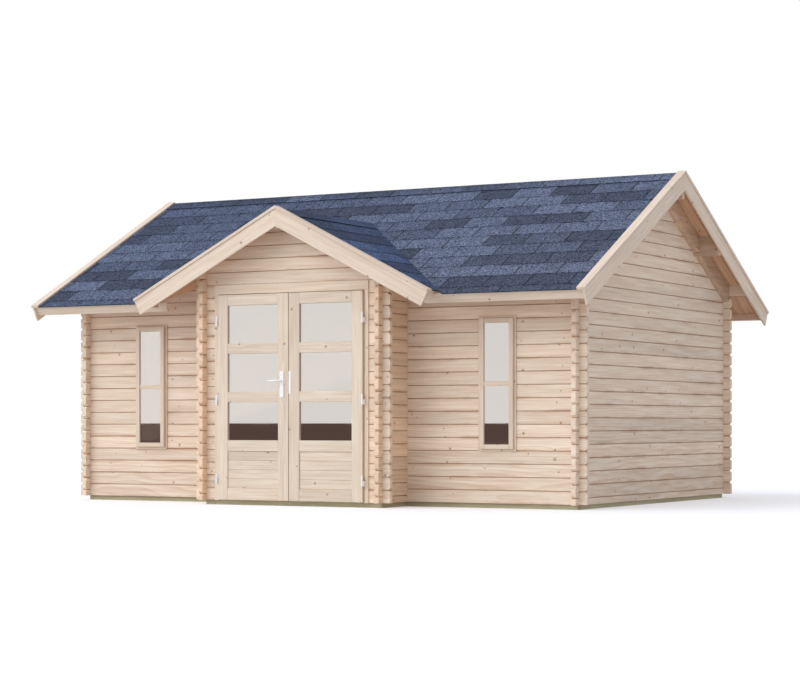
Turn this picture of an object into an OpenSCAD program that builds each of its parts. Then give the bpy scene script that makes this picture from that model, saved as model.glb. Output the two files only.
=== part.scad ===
/* [Walls] */
// Width over the outer faces of the gable walls
body_w = 5190; // [4700:10:6000]
// Depth from the outer face of the front wall to the outer face of the back wall
body_d = 3470; // [3000:10:4200]
// Underside of the roof boards above the ground at the outer faces of the front and back walls
wall_h = 2064; // [2030:1:2085]
// Wall thickness
log_t = 44; // [38:1:50]
// Height of one log course
log_h = 114; // [113:0.5:116]
// Length of a log end past the crossing wall
log_end = 72; // [60:1:80]
// Depth of the groove at a joint between logs
groove_d = 5; // [2:0.5:7]
// Bevel at the edges of a log end
end_bevel = 20; // [10:1:22]

/* [Front bay] */
// Bay width over the outer faces of its side walls
bay_w = 1876; // [1860:2:2100]
// How far the bay stands in front of the front wall
bay_out = 445; // [400:5:480]

/* [Foundation and floor] */
// Height of the foundation beams
beam_h = 40; // [38:1:60]
// Width of the foundation beams
beam_w = 70; // [60:1:90]
// How far the beams stand back from the wall faces
beam_inset = 22; // [10:1:30]
// Thickness of the floor boards
floor_t = 19; // [18:1:28]
// Gap between the floor boards and the walls
floor_gap = 4; // [3:1:10]
// Width of a floor joist
joist_w = 60; // [45:1:90]
// Number of floor joists under the room
joist_n = 8; // [6:1:10]

/* [Roof] */
// Pitch of the main roof in degrees
roof_pitch = 27.9; // [26:0.1:29]
// Pitch of the bay roof in degrees
bay_pitch = 27; // [26:0.5:28]
// How far the roof boards over the bay's side walls lie above those over the front wall
bay_lift = 48; // [30:1:60]
// Reach of the roof boards past the front and back walls
eave_out = 450; // [400:5:600]
// Reach of the roof boards past the gable walls
gable_out = 250; // [220:2:300]
// Reach of the bay roof boards past the bay front
bay_front_out = 240; // [220:2:300]
// Reach of the bay roof boards past the bay's side walls
bay_eave_out = 510; // [480:5:600]
// Fitting gap between the sloping layers of the roof
fit_gap = 0.05; // [0.05:0.01:0.3]
// Thickness of the roof boards
deck_t = 19; // [16:1:28]
// Thickness of the shingle covering
cover_t = 8; // [5:1:12]
// Barge board thickness
barge_t = 18; // [16:1:24]
// Barge board depth, square to the slope
barge_h = 135; // [120:1:165]
// Width of the cap board on top of the barge board
cap_w = 80; // [70:1:120]
// Thickness of the cap board
cap_t = 26; // [18:1:30]
// How far the cap board stands past the barge board
cap_over = 10; // [6:1:30]
// How far the gable boards run past the ends of the main roof boards
barge_over = 52; // [20:1:60]
// How far the bay's gable boards run past the ends of its roof boards
bay_barge_over = 78; // [20:1:90]
// Gap between the covering and the cap boards
cover_gap = 1; // [1:1:5]
// Depth of the fascia boards, square to the slope
fascia_h = 90; // [60:1:110]
// Fascia board thickness
fascia_t = 18; // [16:1:24]
// How far the front fascias run in under the bay eaves
fascia_lap = 160; // [60:5:200]
// How far the covering stands past the fascia boards
drip = 20; // [4:1:30]
// Purlin width
purlin_w = 58; // [44:1:70]
// Height of the ridge purlin
ridge_purlin_h = 205; // [160:5:225]
// Height of the side purlins
side_purlin_h = 170; // [140:5:200]
// Height of the bay ridge purlin
bay_purlin_h = 150; // [130:5:170]
// Distance from the wall face to the middle of a side purlin
purlin_y = 812; // [760:2:860]
// Depth of the gable rafters, square to the slope
rafter_h = 140; // [90:1:150]
// Width of the gable rafters
rafter_w = 60; // [44:1:70]

/* [Door] */
// Width over the door casing
door_w = 1602; // [1560:2:1620]
// Width of the door casing seen beside the leaves
door_side = 46; // [40:1:55]
// Height of the frame above the leaves
door_head = 91; // [80:1:120]
// Thickness of a door leaf
leaf_t = 42; // [38:1:48]
// How far the leaves stand in front of the casing
leaf_proud = 24; // [15:1:28]
// Gap between and under the leaves
leaf_gap = 6; // [5:0.5:8]
// How far the frame laps behind the edges of the leaves
rebate = 22; // [15:1:28]
// Width of a leaf stile
stile_w = 108; // [90:1:120]
// Height of the top and lock rails
rail_h = 98; // [80:1:110]
// Height of the rails between the panes
mid_rail_h = 92; // [70:1:100]
// How far the panel lies back from the faces of its leaf
panel_in = 8; // [5:0.5:12]
// Height of the bottom rail
bottom_rail_h = 106; // [90:1:150]
// Height of the panel under the panes
panel_h = 332; // [280:1:420]
// Pane thickness
pane_t = 8; // [6:1:16]
// How far the lining of a door or window reaches in behind its casing
casing_lap = 20; // [15:1:30]
// How far a pane sits in the groove round it
pane_lap = 8; // [6:1:12]

/* [Door fittings] */
// Height of the lever above the ground
handle_z = 1110; // [1050:1:1150]
// Distance of the lever's pivot from the middle of the cabin
handle_x = 69; // [60:1:80]
// Length of the lever from its pivot
lever_len = 122; // [90:1:130]
// Distance of the lever from the leaf
lever_out = 46; // [40:1:50]
// Radius of the lever and of its spindle
spindle_r = 8; // [6:0.5:9]
// Width of the lever's back plate
plate_w = 40; // [34:1:50]
// Height of the back plate
plate_h = 231; // [190:1:240]
// How far the back plate runs below the lever
plate_drop = 147; // [120:1:160]
// Thickness of the back plate
plate_t = 8; // [4:1:10]
// Width of the slim plate on the right leaf
strike_w = 22; // [15:1:30]
// Height of the slim plate
strike_h = 200; // [160:1:220]
// Height of one hinge knuckle
knuckle_h = 46; // [35:1:55]
// Radius of a hinge knuckle
knuckle_r = 8; // [7.5:0.5:8.5]
// Radius of a hinge pin
pin_r = 5; // [4:0.5:6]
// Width of the hinge plates on the face of a leaf
leaf_plate_w = 10; // [8:1:30]
// Running gap round pins and spindles
pin_gap = 0.3; // [0.2:0.05:0.5]

/* [Windows] */
// Width over a window casing
window_w = 362; // [330:2:420]
// Distance from the top of a window casing to the underside of the top logs
window_head = 318; // [150:1:400]
// Lower edge of a window casing above the ground
window_z = 490; // [420:5:560]
// Centre of each window from the middle of the cabin
window_x = 1827; // [1700:5:1950]
// Width of casing and sash together round the glass
window_rim = 61; // [50:1:75]
// How far the glass lies back from the front of the sash
sash_in = 12; // [8:1:16]
// Height of the glazing bar
bar_h = 38; // [25:1:50]

/* [Hidden] */
$fn = 48;
m = tan(roof_pitch);
mb = tan(bay_pitch);
cr = cos(roof_pitch);
sr = sin(roof_pitch);
cb = cos(bay_pitch);
sb = sin(bay_pitch);
hw = body_w / 2;
hb = bay_w / 2;
z0 = beam_h;
course_n = floor((wall_h - z0 - 20) / log_h);
z_top_log = z0 + course_n * log_h;
z_long_log = z_top_log - log_h;
ridge_u = wall_h + m * body_d / 2;
deck_x = hw + gable_out;
bay_y = bay_out + bay_front_out;
bay_ridge_h = wall_h + bay_lift + mb * hb;
bay_half = hb + bay_eave_out;
barge_dz = fit_gap + deck_t;
cover_dz = barge_dz + fit_gap;
cap_dz = cover_dz;
over_dz = cover_dz + cover_t + fit_gap;
cover_out = eave_out + fascia_t + drip;
cover_x = deck_x + barge_t + cap_over - cap_w - cover_gap;
door_half = door_w / 2 - casing_lap;
leaf_half = door_w / 2 - door_side;
casing_t = 12;
leaf_y = -casing_t - leaf_proud;
leaf_z = z0 + leaf_gap;
leaf_top = z_top_log - door_head;
pane_h = (leaf_top - leaf_z - 2 * rail_h - 2 * mid_rail_h - bottom_rail_h - panel_h) / 3;
window_h = z_top_log - window_head - window_z;
far = 5000;
spindle_in = 14;
strike_t = 4;
corner_seat = 15;
eave_gap = 2;
strike_up = 32;
boss_extra = 1.5;
knuckle_gap = 0.5;
pin_short = 3;
strap_in = 3;
strap_w = 9;
web_t = 4;
hinge_inset_low = 186;
hinge_inset_high = 233;
hinge_low = leaf_z + hinge_inset_low;
hinge_high = leaf_top - hinge_inset_high;
hinge_zs = [hinge_low, (hinge_low + hinge_high) / 2, hinge_high];
hinge_plate_t = 3;
pin_out = 9;
pin_x = -leaf_half - hinge_plate_t;
pin_y = -bay_out + leaf_y - pin_out;
back_out = max(cover_out, eave_out + barge_over);
mid_y = -(body_d + back_out - bay_y - barge_t - cap_over) / 2;

function under(y) = ridge_u - m * abs(y - body_d / 2);
function bay_under(x) = bay_ridge_h - mb * abs(x);
function joints(lo, hi, off) =
  [for (k = [0 : 30]) let (z = z0 + (k + off) * log_h) if (z > lo + 6 && z < hi) z];
function rev(v) = [for (i = [len(v) - 1 : -1 : 0]) v[i]];

// section across a stack of logs, outer face at 0, inner face at log_t
module stack(zb, zo, zi, off) {
  g = groove_d + 1;
  polygon(concat(
    [[0, zb]],
    [for (z = joints(zb, zo - 12, off)) each [[0, z - g], [groove_d, z], [0, z + g]]],
    [[0, zo], [log_t, zi]],
    [for (z = rev(joints(zb, zi - 12, off))) each [[log_t, z + g], [log_t - groove_d, z], [log_t, z - g]]],
    [[log_t, zb]]
  ));
}

// elevation of a wall whose ends show bevelled log ends; a and b are its ends
module outline(a, b, lo, hi, off, bevel_a, bevel_b) {
  polygon(concat(
    [[a, lo]],
    [for (z = joints(lo, hi - 25, off)) each
      [[a, z - bevel_a - 0.1], [a + bevel_a, z], [a, z + bevel_a + 0.1]]],
    [[a, hi], [b, hi]],
    [for (z = rev(joints(lo, hi - 25, off))) each
      [[b, z + bevel_b + 0.1], [b - bevel_b, z], [b, z - bevel_b - 0.1]]],
    [[b, lo]]
  ));
}

// a wall along X from a to b: outer face at y = 0, facing -Y
module wall_x(a, b, zb, zo, zi) {
  translate([a, 0, 0])
    rotate([90, 0, 90])
      linear_extrude(b - a)
        stack(zb, zo, zi, 0);
}

module shape_x(a, b, zb, zo, zi, bevel_a, bevel_b) {
  intersection() {
    wall_x(a - 1, b + 1, zb, zo, zi);
    translate([0, log_t + 1, 0])
      rotate([90, 0, 0])
        linear_extrude(log_t + 2)
          outline(a, b, zb - 1, max(zo, zi) + 40, 0, bevel_a, bevel_b);
  }
}

// a wall along Y from a to b: outer face at x = 0, facing -X
module wall_y(a, b, zb, zo, zi) {
  translate([0, b, 0])
    rotate([90, 0, 0])
      linear_extrude(b - a)
        stack(zb, zo, zi, 0.5);
}

// the share of a square crossing that belongs to the other wall
module crossing(lo, hi, off) {
  for (k = [0 : 18])
    let (z = z0 + (k + off) * log_h, a = max(lo, z - log_h / 4), b = min(hi, z + log_h / 4))
      if (b - a > 3)
        translate([-0.5, -0.5, a])
          cube([log_t + 1, log_t + 1, b - a]);
}

// everything below a plane lying dz above the underside of the main roof boards
module below_main(dz) {
  translate([-far, 0, 0])
    rotate([90, 0, 90])
      linear_extrude(2 * far)
        polygon([
          [-far, ridge_u + dz - m * (far + body_d / 2)], [body_d / 2, ridge_u + dz],
          [body_d + far, ridge_u + dz - m * (far + body_d / 2)], [body_d + far, -far], [-far, -far]
        ]);
}

// everything below a plane lying dz above the underside of the bay roof boards
module below_bay(dz) {
  translate([0, body_d / 2, 0])
    rotate([90, 0, 0])
      linear_extrude(far)
        polygon([
          [-far, bay_ridge_h + dz - mb * far], [0, bay_ridge_h + dz],
          [far, bay_ridge_h + dz - mb * far], [far, -far], [-far, -far]
        ]);
}

// foundation beams along X: front, back and bay front
module beams_long() {
  i = beam_inset;
  w = beam_w;
  color("olive")
    translate([0, mid_y, 0])
      for (r = [[-hw + i, i, body_w - 2 * i], [-hw + i, body_d - i - w, body_w - 2 * i],
          [-hb + i, -bay_out + i, bay_w - 2 * i]])
        translate([r[0], r[1], 0])
          cube([r[2], w, beam_h]);
}

// foundation beams along Y, between the long ones
module beams_cross() {
  i = beam_inset;
  w = beam_w;
  color("olive")
    translate([0, mid_y, 0])
      for (s = [0, 1])
        mirror([s, 0, 0]) {
          translate([-hw + i, i + w, 0])
            cube([w, body_d - 2 * i - 2 * w, beam_h]);
          translate([-hb + i, -bay_out + i + w, 0])
            cube([w, bay_out - w, beam_h]);
        }
}

module floor_joists() {
  a = beam_inset + beam_w;
  color("olive")
    translate([0, mid_y, 0]) {
      for (k = [1 : joist_n])
        translate([-hw + k * body_w / (joist_n + 1) - joist_w / 2, a, 0])
          cube([joist_w, body_d - 2 * a, beam_h]);
      for (s = [-1, 1])
        translate([s * hb / 3 - joist_w / 2, a - bay_out, 0])
          cube([joist_w, bay_out - beam_w, beam_h]);
    }
}

module floor_boards() {
  g = floor_gap;
  t = log_t + g;
  e = log_end + g;
  color("wheat")
    translate([0, mid_y, 0])
      translate([0, 0, beam_h])
        difference() {
          union() {
            translate([-hw + t, t, 0])
              cube([body_w - 2 * t, body_d - 2 * t, floor_t]);
            translate([-hb + t, t - bay_out, 0])
              cube([bay_w - 2 * t, bay_out + 1, floor_t]);
          }
          for (s = [-1, 1]) {
            translate([s * (hb - log_t / 2) - log_t / 2 - g, -g, -1])
              cube([log_t + 2 * g, log_t + log_end + 2 * g, floor_t + 2]);
            translate([s * (hb - (log_t + e) / 2) - (log_t + e) / 2, -g, -1])
              cube([log_t + e, log_t + 2 * g, floor_t + 2]);
          }
        }
}

// one part of the front wall, beside the bay, drawn on the left
module front_part() {
  a = -hw - log_end;
  b = -hb + log_t + log_end;
  difference() {
    shape_x(a, b, z0, z_long_log, z_long_log, end_bevel, end_bevel);
    translate([-hw, 0, 0])
      crossing(z0, z_long_log, 0);
    translate([-hb, 0, 0])
      crossing(z0, z_long_log, 0);
    translate([-window_x, 0, window_z + window_h / 2])
      cube([window_w - 2 * casing_lap, 3 * log_t, window_h - 2 * casing_lap], center = true);
  }
}

// bevelled end of the second log from the top, a on the left or b mirrored on the right
function second_end(a, s) =
  [for (p = [[end_bevel, z_long_log - 1], [end_bevel, z_long_log], [0, z_long_log + end_bevel],
    [0, z_top_log - end_bevel], [end_bevel, z_top_log]]) [a + s * p[0], p[1]]];

// the two top logs of a wall along X up to b; the upper one runs out under the gable overhang,
// at the far end too where ext_b is set
module long_logs(b, ext_b) {
  difference() {
    intersection() {
      wall_x(-deck_x - 1, b + 1, z_long_log, wall_h, under(log_t));
      translate([0, log_t + 1, 0])
        rotate([90, 0, 0])
          linear_extrude(log_t + 2)
            polygon(concat(
              second_end(-hw - log_end, 1), [[-deck_x, z_top_log], [-deck_x, far], [b, far]],
              ext_b ? concat([[b, z_top_log]], rev(second_end(hw + log_end, -1))) : [[b, z_long_log - 1]]
            ));
    }
    for (x = [-hw, ext_b ? hw - log_t : -hb])
      translate([x, 0, 0])
        crossing(z_long_log, wall_h, 0);
  }
}

// block on the top log beside the bay, up to the bay's roof boards, drawn on the left
module bay_corner() {
  x = (bay_ridge_h - wall_h) / mb;
  translate([0, log_t, 0])
    rotate([90, 0, 0])
      linear_extrude(log_t)
        polygon([
          [-x, wall_h - corner_seat], [-x, wall_h], [-hb, bay_under(hb)], [-hb, wall_h - corner_seat]
        ]);
}

module top_logs() {
  color("burlywood")
    translate([0, mid_y, 0]) {
      for (s = [0, 1])
        mirror([s, 0, 0]) {
          long_logs(-hb + log_t + log_end, false);
          bay_corner();
        }
      translate([0, body_d, 0])
        mirror([0, 1, 0])
          long_logs(deck_x, true);
    }
}

module front_wall_left() {
  color("burlywood")
    translate([0, mid_y, 0])
      front_part();
}

module front_wall_right() {
  color("burlywood")
    translate([0, mid_y, 0])
      mirror([1, 0, 0])
        front_part();
}

module back_wall() {
  color("burlywood")
    translate([0, mid_y + body_d, 0])
      mirror([0, 1, 0])
        difference() {
          shape_x(-hw - log_end, hw + log_end, z0, z_long_log, z_long_log, end_bevel, end_bevel);
          for (x = [-hw, hw - log_t])
            translate([x, 0, 0])
              crossing(z0, z_long_log, 0);
        }
}

module gable_part() {
  e = log_end;
  difference() {
    intersection() {
      translate([-hw, 0, 0])
        wall_y(-e - 1, body_d + e + 1, z0, ridge_u + 200, ridge_u + 200);
      translate([-hw - 1, 0, 0])
        rotate([90, 0, 90])
          linear_extrude(log_t + 2)
            outline(-e, body_d + e, z0 - 1, ridge_u + 50, 0.5, end_bevel, end_bevel);
      below_main(0);
    }
    for (y = [0, body_d - log_t]) {
      translate([-hw, y, 0])
        crossing(z0, z_top_log, 0.5);
      translate([-hw - 0.5, y - 0.5, z_top_log + log_h / 4])
        cube([log_t + 1, log_t + 1, log_h]);
    }
    purlin_slots();
  }
}

module gable_wall_left() {
  color("tan")
    translate([0, mid_y, 0])
      gable_part();
}

module gable_wall_right() {
  color("tan")
    translate([0, mid_y, 0])
      mirror([1, 0, 0])
        gable_part();
}

// side wall of the bay, drawn on the left
module bay_side_part() {
  e = log_end;
  a = -bay_out - e;
  b = log_t + e;
  difference() {
    intersection() {
      translate([-hb, 0, 0])
        wall_y(a - 1, b + 1, z0, bay_under(hb), bay_under(hb - log_t));
      translate([-hb - 1, 0, 0])
        rotate([90, 0, 90])
          linear_extrude(log_t + 2)
            outline(a, b, z0 - 1, bay_ridge_h, 0.5, end_bevel, end_bevel);
    }
    translate([-hb, 0, 0])
      crossing(z0, z_top_log, 0.5);
    translate([-hb - 0.5, -0.5, z_top_log + log_h / 4])
      cube([log_t + 1, log_t + 0.5, under(log_t) - z_top_log - log_h / 4]);
    translate([-hb, -bay_out, 0])
      crossing(z0, z_top_log, 0.5);
    translate([-hb - 0.5, -bay_out - 0.5, z_top_log + log_h / 4])
      cube([log_t + 1, log_t + 1, 2 * log_h]);
  }
}

module bay_side_left() {
  color("tan")
    translate([0, mid_y, 0])
      bay_side_part();
}

module bay_side_right() {
  color("tan")
    translate([0, mid_y, 0])
      mirror([1, 0, 0])
        bay_side_part();
}

module bay_piers() {
  color("burlywood")
    translate([0, mid_y, 0])
      for (s = [0, 1])
        mirror([s, 0, 0])
          translate([0, -bay_out, 0])
            difference() {
              shape_x(-hb - log_end, -door_half, z0, z_top_log, z_top_log, end_bevel, 0);
              translate([-hb, 0, 0])
                crossing(z0, z_top_log, 0);
            }
}

module bay_gable() {
  color("burlywood")
    translate([0, mid_y, 0])
      translate([0, -bay_out, 0])
        difference() {
          wall_x(-hb - log_end, hb + log_end, z_top_log, bay_ridge_h + 50, bay_ridge_h + 50);
          for (x = [-hb, hb - log_t])
            translate([x - 0.5, -0.5, z_top_log - 1])
              cube([log_t + 1, log_t + 1, log_h / 4 + 1]);
          translate([-far, -1, 0])
            rotate([90, 0, 0])
              mirror([0, 0, 1])
                linear_extrude(log_t + 2)
                  polygon([
                    [0, bay_ridge_h - mb * far], [far, bay_ridge_h], [2 * far, bay_ridge_h - mb * far],
                    [2 * far, 2 * far], [0, 2 * far]
                  ]);
          translate([-purlin_w / 2, -1, bay_ridge_h - bay_purlin_h])
            cube([purlin_w, log_t + 2, 400]);
        }
}

module bay_header() {
  color("burlywood")
    translate([0, mid_y, 0]) {
      b = hb - log_t - log_end;
      wall_x(-b, b, z_top_log, wall_h, under(log_t));
    }
}

// a purlin along X whose top follows the main roof
module purlin(y, h) {
  w = purlin_w / 2;
  translate([-deck_x, 0, 0])
    rotate([90, 0, 90])
      linear_extrude(2 * deck_x)
        polygon([
          [y - w, under(y) - h], [y - w, under(y - w)], [y, under(y)],
          [y + w, under(y + w)], [y + w, under(y) - h]
        ]);
}

module purlins() {
  purlin(body_d / 2, ridge_purlin_h);
  purlin(purlin_y, side_purlin_h);
  purlin(body_d - purlin_y, side_purlin_h);
}

// upright slots for the purlins, open at the top
module purlin_slots() {
  w = purlin_w / 2;
  for (p = [[body_d / 2, ridge_purlin_h], [purlin_y, side_purlin_h], [body_d - purlin_y, side_purlin_h]])
    translate([-far, p[0] - w, under(p[0]) - p[1]])
      cube([2 * far, purlin_w, 1000]);
}

module ridge_purlin() {
  color("peru")
    translate([0, mid_y, 0])
      purlin(body_d / 2, ridge_purlin_h);
}

module side_purlins() {
  color("peru")
    translate([0, mid_y, 0]) {
      purlin(purlin_y, side_purlin_h);
      purlin(body_d - purlin_y, side_purlin_h);
    }
}

module bay_purlin_shape() {
  w = purlin_w / 2;
  difference() {
    translate([0, purlin_y + purlin_w / 2, 0])
      rotate([90, 0, 0])
        linear_extrude(bay_y + purlin_y + purlin_w / 2)
          polygon([
            [-w, bay_ridge_h - bay_purlin_h], [-w, bay_under(w)], [0, bay_ridge_h],
            [w, bay_under(w)], [w, bay_ridge_h - bay_purlin_h]
          ]);
    purlins();
  }
}

module bay_purlin() {
  color("peru")
    translate([0, mid_y, 0])
      bay_purlin_shape();
}

module gable_rafters() {
  color("peru")
    translate([0, mid_y, 0])
      for (s = [0, 1])
        mirror([s, 0, 0])
          difference() {
            translate([hw, 0, 0])
              rotate([90, 0, 90])
                linear_extrude(rafter_w)
                  polygon([
                    [log_t, under(log_t)], [body_d / 2, ridge_u], [body_d - log_t, under(log_t)],
                    [body_d - log_t, under(log_t) - rafter_h / cr],
                    [body_d / 2, ridge_u - rafter_h / cr],
                    [log_t, under(log_t) - rafter_h / cr]
                  ]);
            purlin_slots();
          }
}

// a layer of the front slope lying dz above the underside of the main roof boards; its upper edge
// reaches out past the wall, and its end is cut square to the slope
module slope_main(x0, x1, out, dz, t) {
  z = wall_h - m * out + (dz + t) / cr;
  translate([x0, 0, 0])
    rotate([90, 0, 90])
      linear_extrude(x1 - x0)
        polygon([
          [-out + t * sr, z - t * cr], [body_d / 2, ridge_u + dz / cr],
          [body_d / 2, ridge_u + (dz + t) / cr], [-out, z]
        ]);
}

// the same on the left slope of the bay roof, from y0 to y1, its upper edge at -x0
module slope_bay(y0, y1, x0, dz, t) {
  z = bay_under(x0) + (dz + t) / cb;
  translate([0, y1, 0])
    rotate([90, 0, 0])
      linear_extrude(y1 - y0)
        polygon([
          [-x0 + t * sb, z - t * cb], [0, bay_ridge_h + dz / cb],
          [0, bay_ridge_h + (dz + t) / cb], [-x0, z]
        ]);
}

module front_deck() {
  color("sienna")
    translate([0, mid_y, 0])
      difference() {
        slope_main(-deck_x, deck_x, eave_out, fit_gap, deck_t);
        below_bay(fit_gap / cb);
      }
}

module back_deck() {
  color("sienna")
    translate([0, mid_y, 0])
      translate([0, body_d, 0])
        mirror([0, 1, 0])
          slope_main(-deck_x, deck_x, eave_out, fit_gap, deck_t);
}

module bay_deck_part() {
  difference() {
    slope_bay(-bay_y, body_d / 2, bay_half, fit_gap, deck_t);
    below_main(cover_dz / cr);
  }
}

module bay_deck_left() {
  color("sienna")
    translate([0, mid_y, 0])
      bay_deck_part();
}

module bay_deck_right() {
  color("sienna")
    translate([0, mid_y, 0])
      mirror([1, 0, 0])
        bay_deck_part();
}

module front_covering() {
  color("slategray")
    translate([0, mid_y, 0])
      difference() {
        slope_main(-cover_x, cover_x, cover_out, cover_dz, cover_t);
        below_bay(cover_dz / cb);
      }
}

module back_covering() {
  color("slategray")
    translate([0, mid_y, 0])
      translate([0, body_d, 0])
        mirror([0, 1, 0])
          slope_main(-cover_x, cover_x, cover_out, cover_dz, cover_t);
}

module bay_covering_part() {
  difference() {
    slope_bay(-bay_y - barge_t - cap_over + cap_w + cover_gap, body_d / 2,
      bay_half + fascia_t + drip, cover_dz, cover_t);
    below_main(over_dz / cr);
  }
}

module bay_covering_left() {
  color("slategray")
    translate([0, mid_y, 0])
      bay_covering_part();
}

module bay_covering_right() {
  color("slategray")
    translate([0, mid_y, 0])
      mirror([1, 0, 0])
        bay_covering_part();
}

// gable board pair in elevation: reach r of the top edge from the ridge, cut square to the slope
module chevron(p, r, top, depth) {
  t = tan(p);
  c = cos(p);
  s = sin(p);
  polygon([
    [-r, top - t * r], [0, top], [r, top - t * r],
    [r - depth * s, top - t * r - depth * c],
    [0, top - depth / c],
    [-r + depth * s, top - t * r - depth * c]
  ]);
}

module gable_barges() {
  color("burlywood")
    translate([0, mid_y, 0])
      for (s = [0, 1])
        mirror([s, 0, 0])
          translate([deck_x, body_d / 2, 0])
            rotate([90, 0, 90])
              linear_extrude(barge_t)
                chevron(roof_pitch, body_d / 2 + eave_out + barge_over - cap_t * sr,
                  ridge_u + barge_dz / cr, barge_h);
}

module bay_barge() {
  color("burlywood")
    translate([0, mid_y, 0])
      translate([0, -bay_y, 0])
        rotate([90, 0, 0])
          linear_extrude(barge_t)
            chevron(bay_pitch, bay_half + bay_barge_over - cap_t * sb, bay_ridge_h + barge_dz / cb,
              barge_h);
}

module gable_caps() {
  color("burlywood")
    translate([0, mid_y, 0])
      for (s = [0, 1])
        mirror([s, 0, 0])
          translate([deck_x + barge_t + cap_over - cap_w, body_d / 2, 0])
            rotate([90, 0, 90])
              linear_extrude(cap_w)
                chevron(roof_pitch, body_d / 2 + eave_out + barge_over,
                  ridge_u + (cap_dz + cap_t) / cr, cap_t);
}

module bay_cap() {
  color("burlywood")
    translate([0, mid_y, 0])
      translate([0, -bay_y - barge_t - cap_over + cap_w, 0])
        rotate([90, 0, 0])
          linear_extrude(cap_w)
            chevron(bay_pitch, bay_half + bay_barge_over,
              bay_ridge_h + (cap_dz + cap_t) / cb, cap_t);
}

// section of a fascia board square to a slope of pitch p, on the end of the roof boards whose
// upper corner lies at a
module fascia_section(a, p) {
  c = cos(p);
  s = sin(p);
  translate(a)
    polygon([
      [-fit_gap * c, -fit_gap * s], [-fascia_t * c, -fascia_t * s],
      [-fascia_t * c + fascia_h * s, -fascia_t * s - fascia_h * c],
      [-fit_gap * c + fascia_h * s, -fit_gap * s - fascia_h * c]
    ]);
}

// fascia of the front slope, from x = a to b
module eave_board(a, b) {
  translate([a, 0, 0])
    rotate([90, 0, 90])
      linear_extrude(b - a)
        fascia_section([-eave_out, wall_h - m * eave_out + barge_dz / cr], roof_pitch);
}

// fascia of the bay's left slope, up to the one of the main roof
module bay_eave_board() {
  y = -eave_out - fascia_t - eave_gap;
  translate([0, y, 0])
    rotate([90, 0, 0])
      linear_extrude(bay_y + y)
        fascia_section([-bay_half, bay_under(bay_half) + barge_dz / cb], bay_pitch);
}

module fascias() {
  bay_end = (bay_ridge_h - wall_h + m * eave_out) / mb - fascia_lap;
  color("burlywood")
    translate([0, mid_y, 0]) {
      for (s = [0, 1])
        mirror([s, 0, 0]) {
          eave_board(-deck_x, -bay_end);
          bay_eave_board();
        }
      translate([0, body_d, 0])
        mirror([0, 1, 0])
          eave_board(-deck_x, deck_x);
    }
}

module door_frame() {
  g = leaf_gap;
  h = z_top_log;
  color("burlywood")
    translate([0, mid_y, 0])
      translate([0, -bay_out, 0])
        difference() {
          union() {
            translate([-door_w / 2, -casing_t, z0])
              cube([door_w, casing_t, h - z0]);
            translate([-door_half, 0, z0])
              cube([2 * door_half, log_t, h - z0]);
          }
          translate([-leaf_half - g, -casing_t - 1, z0 - 1])
            cube([2 * (leaf_half + g), casing_t + leaf_y + leaf_t + g + 1, leaf_top + g - z0 + 1]);
          translate([-leaf_half + rebate, -casing_t - 1, z0 + rebate])
            cube([2 * (leaf_half - rebate), 2 * log_t, leaf_top - z0 - 2 * rebate]);
        }
}

// a door leaf drawn as the left one; x runs from the hinge edge to the meeting edge
module leaf_part() {
  w = leaf_half - leaf_gap / 2;
  pw = w - 2 * stile_w;
  translate([-leaf_half, -bay_out + leaf_y, 0])
    difference() {
      translate([0, 0, leaf_z])
        cube([w, leaf_t, leaf_top - leaf_z]);
      for (k = [0 : 2])
        pane_cut(pw, leaf_top - rail_h - pane_h - k * (pane_h + mid_rail_h));
      for (y = [-1, leaf_t - panel_in])
        translate([stile_w, y, leaf_z + bottom_rail_h])
          cube([pw, panel_in + 1, panel_h]);
    }
}

module pane_cut(pw, z) {
  translate([stile_w, -1, z])
    cube([pw, leaf_t + 2, pane_h]);
  pane(pw, z);
}

// one sheet of glass in a leaf whose panes are pw wide, its seen lower edge at z
module pane(pw, z) {
  e = pane_lap;
  translate([stile_w - e, (leaf_t - pane_t) / 2, z - e])
    cube([pw + 2 * e, pane_t, pane_h + 2 * e]);
}

module leaf_left() {
  color("wheat")
    translate([0, mid_y, 0])
      difference() {
        leaf_part();
        translate([-handle_x, -bay_out + leaf_y - 1, handle_z])
          rotate([-90, 0, 0])
            cylinder(r = spindle_r + pin_gap, h = spindle_in + 6);
      }
}

module leaf_right() {
  color("wheat")
    translate([0, mid_y, 0])
      mirror([1, 0, 0])
        leaf_part();
}

module panes_part() {
  pw = leaf_half - leaf_gap / 2 - 2 * stile_w;
  translate([-leaf_half, -bay_out + leaf_y, 0])
    for (k = [0 : 2])
      pane(pw, leaf_top - rail_h - pane_h - k * (pane_h + mid_rail_h));
}

module panes_left() {
  color("lightblue")
    translate([0, mid_y, 0])
      panes_part();
}

module panes_right() {
  color("lightblue")
    translate([0, mid_y, 0])
      mirror([1, 0, 0])
        panes_part();
}

module window_frames() {
  e = casing_lap;
  gw = window_w - 2 * window_rim;
  gh = window_h - 2 * window_rim;
  color("burlywood")
    translate([0, mid_y, 0])
      for (s = [-1, 1])
        translate([s * window_x, 0, window_z + window_h / 2])
          difference() {
            union() {
              translate([-window_w / 2, -casing_t, -window_h / 2])
                cube([window_w, casing_t, window_h]);
              translate([-window_w / 2 + e, leaf_y, -window_h / 2 + e])
                cube([window_w - 2 * e, log_t - leaf_y, window_h - 2 * e]);
            }
            for (k = [0, 1])
              translate([-gw / 2, leaf_y - 1, k == 0 ? -gh / 2 : bar_h / 2])
                cube([gw, 3 * log_t, (gh - bar_h) / 2]);
            translate([-gw / 2 - pane_lap, leaf_y + sash_in, -gh / 2 - pane_lap])
              cube([gw + 2 * pane_lap, pane_t, gh + 2 * pane_lap]);
          }
}

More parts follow.
